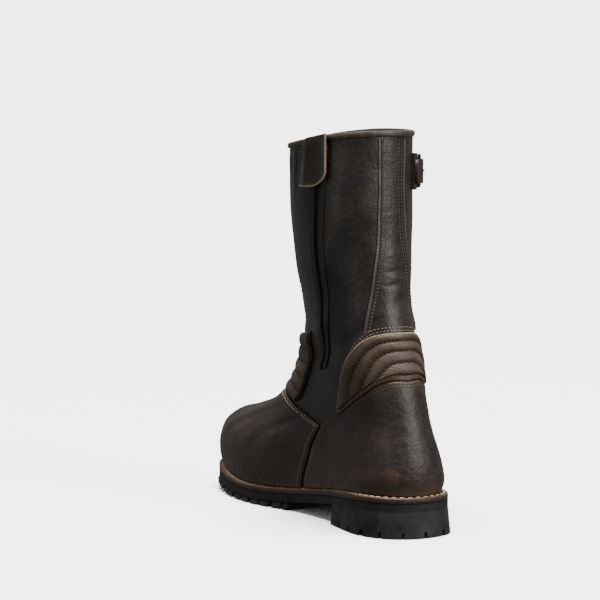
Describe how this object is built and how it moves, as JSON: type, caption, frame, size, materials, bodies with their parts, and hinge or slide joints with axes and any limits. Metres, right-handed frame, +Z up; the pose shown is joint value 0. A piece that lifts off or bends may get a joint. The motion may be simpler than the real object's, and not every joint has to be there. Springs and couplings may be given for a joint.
{
  "type": "motorcycle boot",
  "caption": "Right motorcycle boot, mid-calf: hollow leather shaft and foot, quilted ankle and instep pads, side zip, strap and buckle at the top, lugged rubber sole.",
  "frame": {"origin": "middle of the heel's tread, on the floor", "axes": "+Y towards the toe, +X towards the outer side of the right foot, +Z up"},
  "size_m": [0.1175, 0.3041, 0.3045],
  "materials": {
    "rubber": "matt, dusty charcoal",
    "heel_rubber": "matt, dusty charcoal",
    "welt_leather": "waxed edge",
    "insole_leather": "plain",
    "upper_leather": "oiled, worn",
    "counter_leather": "oiled, worn",
    "vamp_leather": "oiled, worn",
    "pad_leather": "worn, quilted",
    "instep_leather": "worn, quilted",
    "medial_seam_leather": "worn",
    "lateral_seam_leather": "worn",
    "binding_leather": "worn",
    "zip_cloth": "woven tape and dark chain",
    "slider_metal": "dark metal",
    "flap_leather": "worn, bound edge",
    "anchor_leather": "worn",
    "strap_leather": "worn",
    "frame_metal": "gunmetal",
    "prong_metal": "gunmetal"
  },
  "bodies": {
    "root": {"outsole": "rubber", "heel_block": "heel_rubber", "welt": "welt_leather", "insole": "insole_leather", "upper": "upper_leather", "heel_counter": "counter_leather", "vamp": "vamp_leather", "ankle_pad": "pad_leather", "instep_pad": "instep_leather", "medial_back_seam": "medial_seam_leather", "lateral_back_seam": "lateral_seam_leather", "collar_binding": "binding_leather", "zip": "zip_cloth", "zip_slider": "slider_metal", "zip_flap": "flap_leather", "strap_anchor": "anchor_leather", "strap": "strap_leather", "buckle_frame": "frame_metal", "buckle_prong": "prong_metal"}
  },
  "joints": []
}
